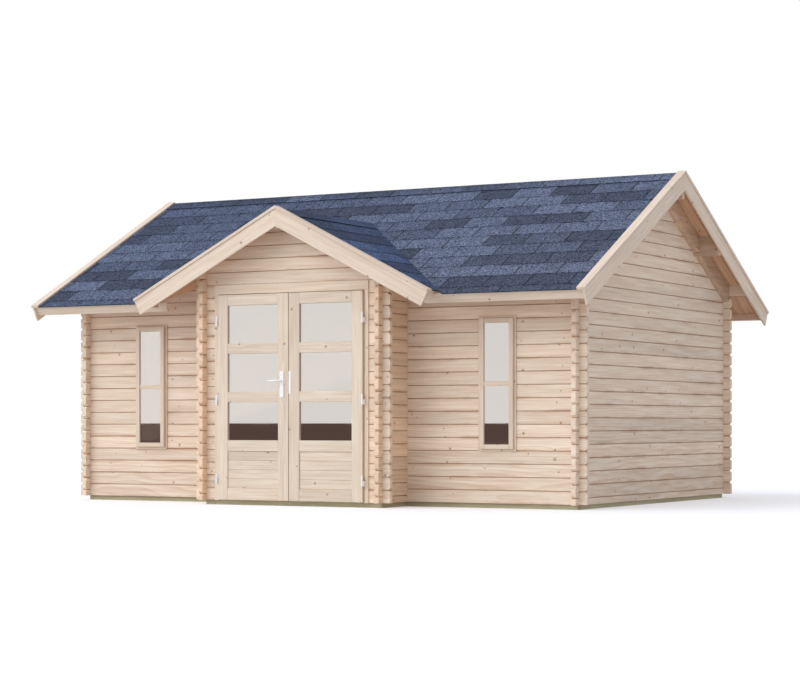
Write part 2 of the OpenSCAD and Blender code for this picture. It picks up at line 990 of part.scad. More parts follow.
module window_panes() {
  gw = window_w - 2 * window_rim;
  gh = window_h - 2 * window_rim;
  color("lightblue")
    translate([0, mid_y, 0])
      for (s = [-1, 1])
        translate([s * window_x - gw / 2 - pane_lap, leaf_y + sash_in, window_z + window_rim - pane_lap])
          cube([gw + 2 * pane_lap, pane_t, gh + 2 * pane_lap]);
}

// back plate of the lever, on the meeting stile of the left leaf
module handle_plate() {
  color("white")
    translate([0, mid_y, 0])
      translate([-handle_x, -bay_out + leaf_y, 0])
        difference() {
          translate([-plate_w / 2, -plate_t, handle_z - plate_drop])
            cube([plate_w, plate_t, plate_h]);
          translate([0, 1, handle_z])
            rotate([90, 0, 0])
              cylinder(r = spindle_r + pin_gap, h = plate_t + 2);
        }
}

module lever() {
  color("white")
    translate([0, mid_y, 0])
      translate([-handle_x, -bay_out + leaf_y, handle_z]) {
        translate([0, spindle_in, 0])
          rotate([90, 0, 0])
            cylinder(r = spindle_r, h = spindle_in + lever_out + spindle_r);
        translate([0, -lever_out, 0])
          rotate([0, -90, 0])
            cylinder(r = spindle_r, h = lever_len);
        translate([0, -lever_out, 0])
          sphere(r = spindle_r + boss_extra);
      }
}

// slim plate on the meeting edge of the right leaf
module strike_plate() {
  color("white")
    translate([0, mid_y, 0])
      translate([leaf_gap / 2, -bay_out + leaf_y - strike_t, handle_z - plate_drop + strike_up])
        cube([strike_w, strike_t, strike_h]);
}

// lower knuckles with their pins, and the straps that carry them off the casing
module hinge_pins() {
  color("white")
    translate([0, mid_y, 0])
      for (s = [0, 1])
        mirror([s, 0, 0])
          for (z = hinge_zs)
            translate([pin_x, pin_y, z]) {
              translate([0, 0, -knuckle_h])
                cylinder(r = knuckle_r, h = knuckle_h - knuckle_gap);
              translate([0, 0, -1])
                cylinder(r = pin_r, h = knuckle_h - pin_short);
              translate([-strap_in - strap_w, 0, -knuckle_h])
                cube([strap_w, pin_out - leaf_y - casing_t, knuckle_h - knuckle_gap]);
            }
}

// upper knuckles with the plates that fasten them to the leaf, drawn for the left leaf
module knuckle_part() {
  for (z = hinge_zs)
    translate([pin_x, pin_y, z])
      difference() {
        union() {
          translate([0, 0, knuckle_gap])
            cylinder(r = knuckle_r, h = knuckle_h);
          translate([hinge_plate_t, pin_out - hinge_plate_t, knuckle_gap])
            cube([leaf_plate_w, hinge_plate_t, knuckle_h]);
          translate([hinge_plate_t, 0, knuckle_gap])
            cube([web_t, pin_out - 1, knuckle_h]);
        }
        translate([0, 0, -1])
          cylinder(r = pin_r + pin_gap, h = knuckle_h - pin_short + knuckle_gap);
      }
}

module knuckles_left() {
  color("white")
    translate([0, mid_y, 0])
      knuckle_part();
}

module knuckles_right() {
  color("white")
    translate([0, mid_y, 0])
      mirror([1, 0, 0])
        knuckle_part();
}

beams_long();
beams_cross();
floor_joists();
floor_boards();
front_wall_left();
front_wall_right();
back_wall();
top_logs();
gable_wall_left();
gable_wall_right();
bay_side_left();
bay_side_right();
bay_piers();
bay_gable();
bay_header();
ridge_purlin();
side_purlins();
bay_purlin();
gable_rafters();
front_deck();
back_deck();
bay_deck_left();
bay_deck_right();
front_covering();
back_covering();
bay_covering_left();
bay_covering_right();
gable_barges();
bay_barge();
gable_caps();
bay_cap();
fascias();
door_frame();
leaf_left();
leaf_right();
panes_left();
panes_right();
window_frames();
window_panes();
handle_plate();
lever();
strike_plate();
hinge_pins();
knuckles_left();
knuckles_right();
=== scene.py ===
# %% [markdown]
# # A log cabin with a front bay
#
# The cabin is planed softwood: logs 44 mm thick stacked in courses and locked at the corners, a
# saddle roof of boards on purlins with a cross gable over the door, and bitumen shingles. The
# design model brings every size. Here each part gets its finish, and what is made of many small
# boards or tabs is laid piece by piece, as a carpenter or roofer would.

# %% Load the frame
import math
import random

import bmesh
import bpy
from mathutils import Matrix, Vector


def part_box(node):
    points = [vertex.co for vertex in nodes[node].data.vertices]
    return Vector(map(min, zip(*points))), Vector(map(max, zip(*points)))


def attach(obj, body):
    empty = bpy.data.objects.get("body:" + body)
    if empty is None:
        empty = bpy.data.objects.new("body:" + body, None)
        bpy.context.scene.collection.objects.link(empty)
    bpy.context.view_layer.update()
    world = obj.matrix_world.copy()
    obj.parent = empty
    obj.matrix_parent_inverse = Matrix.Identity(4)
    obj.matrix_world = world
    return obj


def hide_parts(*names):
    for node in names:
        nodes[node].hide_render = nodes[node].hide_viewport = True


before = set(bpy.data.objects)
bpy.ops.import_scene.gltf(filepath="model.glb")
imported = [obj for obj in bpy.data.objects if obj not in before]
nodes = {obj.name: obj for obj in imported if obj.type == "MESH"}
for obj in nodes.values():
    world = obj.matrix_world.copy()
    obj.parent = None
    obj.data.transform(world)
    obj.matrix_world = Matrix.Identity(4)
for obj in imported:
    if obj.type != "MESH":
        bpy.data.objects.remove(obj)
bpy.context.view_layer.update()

# %% [markdown]
# ## Reading sizes from the design
#
# Positions could be typed in by hand, but then they would go stale when the design changes. So
# they are read from the parts themselves: the box of a node, the boxes of its loose solids, or the
# plane of its largest upward face for anything that slopes.

# %% Helpers that read the design
def solids(node):
    """Boxes (lowest, highest corner) of the loose solids in a node, from left to right."""
    mesh = nodes[node].data
    key = [tuple(round(c, 5) for c in v.co) for v in mesh.vertices]
    parent = {k: k for k in key}

    def root(k):
        while parent[k] != k:
            parent[k] = parent[parent[k]]
            k = parent[k]
        return k

    for face in mesh.polygons:
        first = root(key[face.vertices[0]])
        for v in face.vertices[1:]:
            parent[root(key[v])] = first
    groups = {}
    for k in parent:
        groups.setdefault(root(k), []).append(k)
    boxes = [tuple(Vector(f(c) for c in zip(*g)) for f in (min, max)) for g in groups.values()]
    return sorted(boxes, key=lambda b: (round(b[0].x, 3), round(b[0].z, 3)))


def roof_plane(node, up=1):
    """A point on the largest face of a roof layer that looks up (or down) and its normal."""
    mesh = nodes[node].data
    faces = [f for f in mesh.polygons if f.normal.z * up > 0.3]
    steepest = {}
    for f in faces:
        k = tuple(round(c, 3) for c in f.normal)
        steepest[k] = steepest.get(k, 0) + f.area
    normal = max(steepest, key=steepest.get)
    face = next(f for f in faces if tuple(round(c, 3) for c in f.normal) == normal)
    return face.center.copy(), Vector(normal).normalized()


def levels(node):
    """The heights at which a node has corners, from the lowest up."""
    return sorted({round(v.co.z, 4) for v in nodes[node].data.vertices})


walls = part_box("front_wall_left")
front_y = walls[0].y
log_t = walls[1].y - walls[0].y
base_z = walls[0].z
print("front wall at y", round(front_y, 4), "logs", round(log_t, 4), "thick")

# %% [markdown]
# ## Camera
#
# Close to a building a wide lens stretches its near corner. So the camera stands well back with a
# long lens. Tilting it up would make the walls lean, so it looks level from chest height, and the
# picture is moved up with the shift of the lens.

# %% Set the camera
LENS = 95.82
CAMERA_AT = (10.0485, front_y - 16.437, 0.7325)
CAMERA_TURN = math.radians(29.2027)
CAMERA_SHIFT = 0.1036

eye = bpy.data.cameras.new("camera")
eye.lens = LENS
eye.sensor_width = 36
eye.shift_y = CAMERA_SHIFT
camera = bpy.data.objects.new("camera", eye)
camera.location = CAMERA_AT
camera.rotation_euler = (math.radians(90), 0, CAMERA_TURN)
bpy.context.scene.collection.objects.link(camera)
bpy.context.scene.camera = camera
print("camera", CAMERA_AT)

# %% [markdown]
# ## Studio
#
# A cabin looks its best in soft, even light. A white dome could do this alone, but then every wall
# would be equally bright. So a broad sun stands in front and to the left, which leaves the gable
# end a tone darker than the front. Below its horizon the dome is dark, because the panes mirror
# what stands in front of them, and a real cabin's panes mirror dark ground there.

# %% Shader helpers
def wire(tree, socket, value):
    """Links a socket into another, or sets it to a plain value."""
    if isinstance(value, bpy.types.NodeSocket):
        tree.links.new(value, socket)
    else:
        socket.default_value = value


def node(tree, kind, settings=None, **inputs):
    """Adds a shader node; inputs are named by socket, with _ for a space, or i0, i1 by number."""
    made = tree.nodes.new("ShaderNode" + kind)
    for key, value in (settings or {}).items():
        setattr(made, key, value)
    for key, value in inputs.items():
        by_number = key[0] == "i" and key[1:].isdigit()
        wire(tree, made.inputs[int(key[1:]) if by_number else key.replace("_", " ")], value)
    return made


def maths(tree, operation, *values):
    """A Math node of the given operation."""
    made = node(tree, "Math", {"operation": operation})
    for k, value in enumerate(values):
        wire(tree, made.inputs[k], value)
    return made.outputs[0]


def span(tree, value, low, high, to_low=0.0, to_high=1.0, kind="SMOOTHSTEP"):
    """Carries value from low..high to to_low..to_high, held at both ends."""
    made = node(tree, "MapRange", {"interpolation_type": kind}, Value=value, From_Min=low,
                From_Max=high, To_Min=to_low, To_Max=to_high)
    return made.outputs["Result"]


def scaled(tree, vector, by):
    """A vector times a number, or part by part times a triple."""
    if isinstance(by, tuple):
        return node(tree, "VectorMath", {"operation": "MULTIPLY"}, i0=vector, i1=by).outputs[0]
    return node(tree, "VectorMath", {"operation": "SCALE"}, i0=vector, Scale=by).outputs[0]


def mixed(tree, factor, first, second):
    """The first colour where factor is 0, the second where it is 1."""
    made = node(tree, "Mix", {"data_type": "RGBA"})
    wire(tree, made.inputs[0], factor)
    for socket, value in ((made.inputs[6], first), (made.inputs[7], second)):
        wire(tree, socket, value if isinstance(value, bpy.types.NodeSocket) else (*value, 1))
    return made.outputs[2]


# %% Dome and sun
SKY_HIGH = (0.85, 0.90, 1.00)
SKY_LOW = (0.96, 1.00, 1.08)
SKY_SIDE = (0.64, 0.67, 0.76)
GROUND_SEEN = (0.115, 0.080, 0.075)
HORIZON_BAND = 0.12
DIM_SIDE = (0.85, 0.53, 0.0)
DIM_FROM, DIM_FULL = -0.2, 0.7
SUN_FROM = (-0.62, -0.62, 0.58)
SUN_STRENGTH = 1.55
SUN_SPREAD = math.radians(70)
SUN_COLOUR = (0.97, 1.0, 1.06)

world = bpy.data.worlds.new("studio")
bpy.context.scene.world = world
world.use_nodes = True
sky = world.node_tree
sky.nodes.clear()
toward = node(sky, "TexCoord").outputs["Generated"]
height = node(sky, "SeparateXYZ", Vector=toward).outputs["Z"]
sideways = node(sky, "VectorMath", {"operation": "DOT_PRODUCT"}, i0=toward, i1=DIM_SIDE)
sideways = sideways.outputs["Value"]
dome = mixed(sky, span(sky, height, 0.0, HORIZON_BAND), SKY_LOW, SKY_HIGH)
dome = mixed(sky, span(sky, sideways, DIM_FROM, DIM_FULL), dome, SKY_SIDE)
dome = mixed(sky, maths(sky, "GREATER_THAN", height, 0.0), GROUND_SEEN, dome)
lit = node(sky, "Background", Color=dome, Strength=1.0)
plain = node(sky, "Background", Color=(1, 1, 1, 1), Strength=1.0)
seen = node(sky, "LightPath").outputs["Is Camera Ray"]
joined = node(sky, "MixShader", Fac=seen)
sky.links.new(lit.outputs[0], joined.inputs[1])
sky.links.new(plain.outputs[0], joined.inputs[2])
node(sky, "OutputWorld", Surface=joined.outputs[0])

sun = bpy.data.lights.new("sun", "SUN")
sun.energy = SUN_STRENGTH
sun.angle = SUN_SPREAD
sun.color = SUN_COLOUR
lamp = bpy.data.objects.new("sun", sun)
lamp.visible_glossy = False
lamp.rotation_euler = Vector(SUN_FROM).to_track_quat("Z", "Y").to_euler()
bpy.context.scene.collection.objects.link(lamp)

# %% Floor
FLOOR_HALF = 60.0
FLOOR_GLOW = 0.30
floor_mesh = bpy.data.meshes.new("studio_floor")
floor_mesh.from_pydata([(-FLOOR_HALF, -FLOOR_HALF, 0), (FLOOR_HALF, -FLOOR_HALF, 0),
                        (FLOOR_HALF, FLOOR_HALF, 0), (-FLOOR_HALF, FLOOR_HALF, 0)], [], [(0, 1, 2, 3)])
floor = bpy.data.objects.new("studio_floor", floor_mesh)
floor.visible_glossy = False
bpy.context.scene.collection.objects.link(floor)


def new_material(name, roughness=0.6, **plain_values):
    """A material with an empty tree but for its Principled shader; returns material, tree, shader."""
    material = bpy.data.materials.new(name)
    material.use_nodes = True
    tree = material.node_tree
    shader = tree.nodes["Principled BSDF"]
    shader.inputs["Roughness"].default_value = roughness
    for key, value in plain_values.items():
        shader.inputs[key.replace("_", " ")].default_value = value
    return material, tree, shader


floor_paint, tree, shader = new_material("floor_paint", 0.9)
place = node(tree, "NewGeometry").outputs["Position"]
cloud = node(tree, "TexNoise", Vector=place, Scale=0.35, Detail=2.0).outputs["Fac"]
wire(tree, shader.inputs["Base Color"], mixed(tree, cloud, (0.70, 0.69, 0.68), (0.73, 0.72, 0.71)))
shader.inputs["Specular IOR Level"].default_value = 0.0
shader.inputs["Emission Color"].default_value = (1, 1, 1, 1)
in_view = node(tree, "LightPath").outputs["Is Camera Ray"]
wire(tree, shader.inputs["Emission Strength"], maths(tree, "MULTIPLY", in_view, FLOOR_GLOW))
floor_mesh.materials.append(floor_paint)
bpy.context.scene.view_settings.view_transform = "Standard"
print("studio ready")

# %% [markdown]
# ## Softwood
#
# Everything here but the shingles, panes and fittings is sawn from spruce. A picture of planks
# would repeat and smear round the edges, so the wood is solid instead: growth rings are shells
# round the pith of the tree, and any cut through them shows the right figure, streaks on a face
# and arcs on an end. Branches leave round knots with a darker ring, and the grain bends round
# them. The group takes a place in metres, X along the grain, Y across the face and Z through it,
# and gives only values; each material turns them into its own colours.

# %% Group: softwood
def new_group(name, takes, gives):
    """A node group; takes and gives map socket names to their kinds. Returns group, in, out."""
    group = bpy.data.node_groups.new(name, "ShaderNodeTree")
    for names, side in ((takes, "INPUT"), (gives, "OUTPUT")):
        for socket, kind in names.items():
            group.interface.new_socket(name=socket, in_out=side, socket_type="NodeSocket" + kind)
    return group, group.nodes.new("NodeGroupInput"), group.nodes.new("NodeGroupOutput")


KNOT_STEP = (0.36, 0.11)
KNOT_R = 0.0055
KNOTS_LEFT_OUT = 0.64
RINGS_PER_M = 165.0
FIBRE_STEPS = (2.2, 150.0, 150.0)
STREAK_STEPS = (1.1, 26.0, 26.0)

def far(tree, a, b):
    """How far the point (a, b) lies from the origin."""
    squares = [maths(tree, "POWER", side, 2.0) for side in (a, b)]
    return maths(tree, "SQRT", maths(tree, "ADD", *squares))


softwood, given, result = new_group(
    "softwood", {"Place": "Vector", "Seed": "Float"},
    {"Rings": "Float", "Streaks": "Float", "Drift": "Float", "Knot": "Float", "Halo": "Float"})
t = softwood
split = node(t, "SeparateXYZ", Vector=given.outputs["Place"])
along, across, through = (split.outputs[k] for k in "XYZ")
seed = given.outputs["Seed"]
cell = node(t, "CombineXYZ", X=maths(t, "DIVIDE", along, KNOT_STEP[0]),
            Y=maths(t, "DIVIDE", across, KNOT_STEP[1]), Z=maths(t, "MULTIPLY", seed, 3.7)).outputs[0]
knots = node(t, "TexVoronoi", {"voronoi_dimensions": "3D"}, Vector=cell, Scale=1.0, Randomness=0.9)
near = node(t, "SeparateXYZ", Vector=knots.outputs["Position"])
here = node(t, "SeparateXYZ", Vector=cell)
off = [maths(t, "MULTIPLY", maths(t, "SUBTRACT", near.outputs[k], here.outputs[k]), step)
       for k, step in zip("XY", KNOT_STEP)]
away = far(t, *off)
chance = node(t, "SeparateColor", Color=knots.outputs["Color"])
radius = span(t, chance.outputs["Green"], 0.0, 1.0, KNOT_R * 0.5, KNOT_R * 1.35, "LINEAR")
there = maths(t, "GREATER_THAN", chance.outputs["Red"], KNOTS_LEFT_OUT)
knot = maths(t, "MULTIPLY", there, span(t, maths(t, "DIVIDE", away, radius), 1.15, 0.75))
halo = maths(t, "MULTIPLY", there, span(t, maths(t, "DIVIDE", away, radius), 3.4, 1.0))
bend = maths(t, "MULTIPLY", there, span(t, away, 0.05, 0.0, 0.0, 0.012))
wave_at = node(t, "CombineXYZ", X=maths(t, "MULTIPLY", along, 0.9), Y=maths(t, "MULTIPLY", across, 4.0),
               Z=seed).outputs[0]
wave = node(t, "TexNoise", Vector=wave_at, Scale=1.0, Detail=2.0).outputs["Fac"]
pith_y = maths(t, "ADD", maths(t, "MULTIPLY", maths(t, "SINE", maths(t, "MULTIPLY", seed, 12.9)), 0.06),
               maths(t, "MULTIPLY", wave, 0.05))
ring_y = maths(t, "ADD", maths(t, "SUBTRACT", across, pith_y), bend)
ring_z = maths(t, "ADD", through, maths(t, "ADD", 0.075, maths(t, "MULTIPLY", wave, 0.03)))
shell = far(t, ring_y, ring_z)
rings = maths(t, "FRACT", maths(t, "MULTIPLY", shell, RINGS_PER_M))
late = maths(t, "MULTIPLY", span(t, rings, 0.25, 0.9), span(t, rings, 1.0, 0.9))
fine = scaled(t, given.outputs["Place"], FIBRE_STEPS)
fibre = node(t, "TexNoise", Vector=fine, Scale=1.0, Detail=3.0, Roughness=0.6).outputs["Fac"]
slow = scaled(t, given.outputs["Place"], STREAK_STEPS)
slow = node(t, "VectorMath", {"operation": "ADD"}, i0=slow, i1=wave_at).outputs[0]
streak = node(t, "TexNoise", Vector=slow, Scale=1.0, Detail=3.0, Roughness=0.55).outputs["Fac"]
streaks = maths(t, "ADD", maths(t, "MULTIPLY", fibre, 0.45), maths(t, "MULTIPLY", streak, 0.55))
for socket, value in (("Rings", late), ("Streaks", streaks), ("Drift", wave), ("Knot", knot),
                      ("Halo", halo)):
    wire(t, result.inputs[socket], value)
print("softwood group has", len(t.nodes), "nodes")

# %% [markdown]
# ### Wood colours and what grows on them
#
# Each kind of wood differs in its pale and deep tone, its knots and how much the boards differ
# from one another. One function therefore builds all wood materials and gets the places of the
# grain from outside: from the part itself where the design made it, or from values stored with
# each board where it is laid here.

# %% Wood materials
KNOT_TONE = (0.115, 0.052, 0.026)
RING_DEPTH, STREAK_DEPTH = 0.30, 0.55
HALO_DEPTH, KNOT_DEPTH = 0.42, 0.85


def finish_wood(tree, shader, place, seed, board_tone, pale, deep, contrast=1.0, spread=0.10):
    """Colours a shader as softwood; board_tone 0..1 says how dark this board is among the rest."""
    wood = node(tree, "Group", {"node_tree": softwood}, Place=place, Seed=seed)
    streaks = span(tree, wood.outputs["Streaks"], 0.34, 0.68)
    figure = maths(tree, "ADD", maths(tree, "MULTIPLY", wood.outputs["Rings"], RING_DEPTH * contrast),
                   maths(tree, "MULTIPLY", streaks, STREAK_DEPTH * contrast))
    colour = mixed(tree, figure, pale, deep)
    shade = span(tree, board_tone, 0.0, 1.0, 1.0 + spread, 1.0 - spread * 1.4, "LINEAR")
    drift = span(tree, wood.outputs["Drift"], 0.3, 0.7, 1.03, 0.95)
    colour = scaled(tree, colour, maths(tree, "MULTIPLY", shade, drift))
    halo = [c * 0.62 for c in deep]
    colour = mixed(tree, maths(tree, "MULTIPLY", wood.outputs["Halo"], HALO_DEPTH), colour, halo)
    colour = mixed(tree, maths(tree, "MULTIPLY", wood.outputs["Knot"], KNOT_DEPTH), colour, KNOT_TONE)
    rough = span(tree, wood.outputs["Streaks"], 0.3, 0.7, 0.56, 0.72, "LINEAR")
    relief = maths(tree, "ADD", maths(tree, "MULTIPLY", wood.outputs["Streaks"], 0.6),
                   maths(tree, "MULTIPLY", wood.outputs["Rings"], 0.4))
    bump = node(tree, "Bump", Strength=0.35, Distance=0.0006, Height=relief)
    wire(tree, shader.inputs["Roughness"], rough)
    wire(tree, shader.inputs["Normal"], bump.outputs["Normal"])
    return colour


def turned(tree, place, order):
    """The parts of a place in another order, such as "YZX"."""
    split = node(tree, "SeparateXYZ", Vector=place)
    return node(tree, "CombineXYZ", X=split.outputs[order[0]], Y=split.outputs[order[1]],
                Z=split.outputs[order[2]]).outputs[0]


def part_wood(name, order, pale, deep, seed_step=0.3, **look):
    """Wood for a part of the design whose grain lies along the first axis named in order."""
    material, tree, shader = new_material(name)
    place = node(tree, "TexCoord").outputs["Object"]
    split = node(tree, "SeparateXYZ", Vector=place)
    across = [split.outputs[k] for k in order[1:]]
    seed = maths(tree, "ADD", *[maths(tree, "ROUND", maths(tree, "DIVIDE", side, seed_step))
                                for side in across])
    tone = maths(tree, "FRACT", maths(tree, "MULTIPLY", seed, 0.618))
    colour = finish_wood(tree, shader, turned(tree, place, order), seed, tone, pale, deep, **look)
    wire(tree, shader.inputs["Base Color"], colour)
    return material


def board_wood(name, pale, deep, **look):
    """Wood for boards laid here, whose grain and tone are stored with each board."""
    material, tree, shader = new_material(name)
    place = node(tree, "Attribute", {"attribute_name": "grain"}).outputs["Vector"]
    tone = node(tree, "Attribute", {"attribute_name": "tone"}).outputs["Fac"]
    seed = maths(tree, "MULTIPLY", tone, 37.0)
    colour = finish_wood(tree, shader, place, seed, tone, pale, deep, **look)
    wire(tree, shader.inputs["Base Color"], colour)
    return material


PALE = (0.92, 0.765, 0.60)
DEEP = (0.68, 0.47, 0.30)
trim_wood = board_wood("trim_wood", (0.84, 0.69, 0.54), (0.64, 0.465, 0.32), spread=0.05)
frame_wood = board_wood("frame_wood", (0.84, 0.69, 0.535), (0.64, 0.465, 0.31), spread=0.05)
leaf_wood = board_wood("leaf_wood", (0.81, 0.68, 0.53), (0.63, 0.465, 0.325), spread=0.05)
# Roof boards, purlins and rafters are seen from below, in shade: their deeper orange tones are partly
# wood colour and partly painted warm shade.
deck_wood = board_wood("deck_wood", (0.84, 0.54, 0.34), (0.56, 0.30, 0.16), contrast=1.2, spread=0.12)
floor_wood = board_wood("floor_wood", (0.66, 0.50, 0.35), (0.45, 0.31, 0.19), spread=0.10)
purlin_wood = part_wood("purlin_wood", "XZY", (0.78, 0.57, 0.40), (0.52, 0.33, 0.20), contrast=1.2)
rafter_wood_warm_shade = part_wood("rafter_wood_warm_shade", "YZX", (0.76, 0.55, 0.38), (0.50, 0.31, 0.18), contrast=1.2)
print(len(bpy.data.materials), "materials so far")

# %% [markdown]
# ### Stacked logs
#
# The walls are one solid each, with real grooves between the courses. Every log is a different
# tree, so the height of a point tells which log it is on, and with it the log's tone and grain.
# The bottom of each groove is painted dark brown, as painted shade, and the wood is darker in
# blotches near each joint. Walls along Y sit half a course higher than walls along X, because the
# logs cross halfway into one another. The short walls beside the bay get warmer tones, as painted
# bounce light from the wood that faces them all round.

# %% Group: log courses
LOG_H = 0.114
WALL_STEP = 0.4
NEAR_JOINT_TONE = (0.50, 0.27, 0.13)
GROOVE_PAINTED_SHADE = (0.30, 0.13, 0.055)

courses, given, result = new_group(
    "log_courses", {"Height": "Float", "Base": "Float", "Course": "Float", "Offset": "Float"},
    {"Number": "Float", "Joint": "Float", "Edge": "Float"})
t = courses
level = maths(t, "SUBTRACT", maths(t, "DIVIDE", maths(t, "SUBTRACT", given.outputs["Height"],
              given.outputs["Base"]), given.outputs["Course"]), given.outputs["Offset"])
wire(t, result.inputs["Number"], maths(t, "FLOOR", level))
gap = maths(t, "MULTIPLY", maths(t, "ABSOLUTE", maths(t, "SUBTRACT", level, maths(t, "ROUND", level))),
            given.outputs["Course"])
# Joint: a mask for the painted shade at the bottom of each groove.
wire(t, result.inputs["Joint"], span(t, gap, 0.0058, 0.0015))
# Edge: how close a point lies to a joint, for the darker blotches there.
wire(t, result.inputs["Edge"], span(t, gap, 0.030, 0.003))


def log_wood(name, order, offset, pale=PALE, deep=DEEP):
    """Wood for walls of logs; offset is the height of the lowest joint, in courses."""
    material, tree, shader = new_material(name)
    place = node(tree, "TexCoord").outputs["Object"]
    split = node(tree, "SeparateXYZ", Vector=place)
    stack = node(tree, "Group", {"node_tree": courses}, Height=split.outputs["Z"], Base=base_z,
                 Course=LOG_H, Offset=offset)
    wall = maths(tree, "ROUND", maths(tree, "DIVIDE", split.outputs[order[2]], WALL_STEP))
    seed = maths(tree, "ADD", stack.outputs["Number"], maths(tree, "MULTIPLY", wall, 7.31))
    mixed_up = maths(tree, "SINE", maths(tree, "MULTIPLY", seed, 91.7))
    tone = maths(tree, "FRACT", maths(tree, "MULTIPLY", mixed_up, 43.7))
    colour = finish_wood(tree, shader, turned(tree, place, order), seed, tone, pale, deep, spread=0.06)
    stretched = scaled(tree, turned(tree, place, order), (1.6, 9.0, 1.0))
    blot = node(tree, "TexNoise", Vector=stretched, Scale=1.0, Detail=4.0, Roughness=0.65)
    # Darker blotches within 30 mm of each joint, streaked along the log.
    near_joint_blot = maths(tree, "MULTIPLY", span(tree, blot.outputs["Fac"], 0.46, 0.68), stack.outputs["Edge"])
    colour = mixed(tree, maths(tree, "MULTIPLY", near_joint_blot, 0.6), colour, NEAR_JOINT_TONE)
    # Painted shade: the bottom of each groove between courses is painted dark brown.
    colour = mixed(tree, maths(tree, "MULTIPLY", stack.outputs["Joint"], 0.72), colour, GROOVE_PAINTED_SHADE)
    wire(tree, shader.inputs["Base Color"], colour)
    return material


logs_across = log_wood("logs_across", "XZY", 0.0)
logs_deep = log_wood("logs_deep", "YZX", 0.5)
# The short walls beside the bay get warmer tones: painted bounce light from the wood that faces them.
logs_bay_painted_bounce = log_wood("logs_bay_painted_bounce", "YZX", 0.5, (0.91, 0.69, 0.49), (0.67, 0.41, 0.235))


def coat(material, *names):
    """Gives parts of the design one material."""
    for name in names:
        slots = nodes[name].data.materials
        slots.clear()
        slots.append(material)


coat(logs_across, "front_wall_left", "front_wall_right", "back_wall", "top_logs", "bay_piers",
     "bay_gable", "bay_header")
coat(logs_deep, "gable_wall_left", "gable_wall_right")
coat(logs_bay_painted_bounce, "bay_side_left", "bay_side_right")
coat(purlin_wood, "ridge_purlin", "side_purlins")
coat(rafter_wood_warm_shade, "bay_purlin", "gable_rafters")
print("log courses from z", round(base_z, 3), "every", LOG_H)

# %% [markdown]
# ### Foundation beams
#
# The beams under the walls are pressure impregnated, which turns pine a dull green. They are the
# same wood as the rest, only dyed, so the same grain is used with green tones and less contrast.

# %% Impregnated beams
GREEN_TONES = (0.60, 0.53, 0.32), (0.44, 0.39, 0.22)
beam_wood = part_wood("beam_wood", "XZY", *GREEN_TONES, spread=0.08)
beam_wood_deep = part_wood("beam_wood_deep", "YZX", *GREEN_TONES, spread=0.08)
coat(beam_wood, "beams_long")
coat(beam_wood_deep, "beams_cross", "floor_joists")
print("beams", len(solids("beams_long")), "along X,", len(solids("beams_cross")), "along Y")

# %% [markdown]
# ## Laying boards
#
# A board is never a plain box: planing leaves a small chamfer along its edges that catches the
# light, and no two boards carry the same grain. One helper makes a chamfered board, cuts it with
# planes where it meets a slope or a mitre, and adds it to a pile that becomes one mesh. The place
# of each corner in its own board is stored as "grain", so the wood follows the board wherever it
# is turned, and its "tone" is drawn once for the whole board.

# %% Board pile
rng = random.Random(7)


def slice_off(bm, point, outward):
    """Cuts away what lies outward of a plane and closes the cut."""
    made = bmesh.ops.bisect_plane(bm, geom=bm.verts[:] + bm.edges[:] + bm.faces[:], dist=1e-5,
                                  plane_co=point, plane_no=outward, clear_outer=True)
    rim = [e for e in made["geom_cut"] if isinstance(e, bmesh.types.BMEdge)]
    if rim:
        bmesh.ops.holes_fill(bm, edges=rim, sides=0)


def show(name, mesh, material, body, replaced):
    """Puts a mesh in the scene as a piece that rides a body and stands for parts of the design."""
    mesh.materials.append(material)
    made = bpy.data.objects.new(name, mesh)
    bpy.context.scene.collection.objects.link(made)
    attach(made, body)
    if replaced:
        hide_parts(*replaced)
    print(name, len(mesh.polygons), "faces")


class Pile:
    """Boards that become one mesh. Each is laid by a matrix of its length, width and thickness."""

    def __init__(self):
        self.points, self.faces, self.grain, self.tone = [], [], [], []

    def add(self, size, at, chamfer=0.0015, cuts=(), tone=None):
        bm = bmesh.new()
        bmesh.ops.create_cube(bm, size=1.0, matrix=Matrix.Diagonal((*size, 1.0)))
        bmesh.ops.bevel(bm, geom=bm.edges[:], offset=chamfer, segments=1, affect="EDGES")
        grain = bm.verts.layers.float_vector.new("grain")
        shift = Vector((rng.uniform(0, 30), rng.uniform(-0.05, 0.05), rng.uniform(0.0, 0.03)))
        for v in bm.verts:
            v[grain] = v.co + shift
        bm.transform(at)
        for point, outward in cuts:
            slice_off(bm, point, outward)
        bm.verts.index_update()
        start = len(self.points)
        self.points += [v.co.copy() for v in bm.verts]
        self.faces += [[start + v.index for v in f.verts] for f in bm.faces]
        self.grain += [c for v in bm.verts for c in v[grain]]
        self.tone += [rng.random() if tone is None else tone] * len(bm.verts)
        bm.free()

    def piece(self, name, material, slot, body, *replaced):
        mesh = bpy.data.meshes.new(name)
        mesh.from_pydata(self.points, [], self.faces)
        mesh.attributes.new("grain", "FLOAT_VECTOR", "POINT").data.foreach_set("vector", self.grain)
        mesh.attributes.new("tone", "FLOAT", "POINT").data.foreach_set("value", self.tone)
        show(name, mesh, material, body, replaced)


def axes(at, length, width):
    """A matrix at a place whose X runs along length and Y along width."""
    x = Vector(length).normalized()
    z = x.cross(Vector(width)).normalized()
    y = z.cross(x)
    made = Matrix((x, y, z)).transposed().to_4x4()
    made.translation = at
    return made


def upright(pile, low, high, grain="z", face="y", **look):
    """A board that fills the box low..high, its grain along one axis and its face square to face."""
    low, high = Vector(low), Vector(high)
    turn = dict(zip("xyz", Matrix.Identity(3)))
    sizes = dict(zip("xyz", high - low))
    other = next(k for k in "xyz" if k not in (grain, face))
    pile.add((sizes[grain], sizes[other], sizes[face]),
             axes((low + high) / 2, turn[grain], turn[other]), **look)


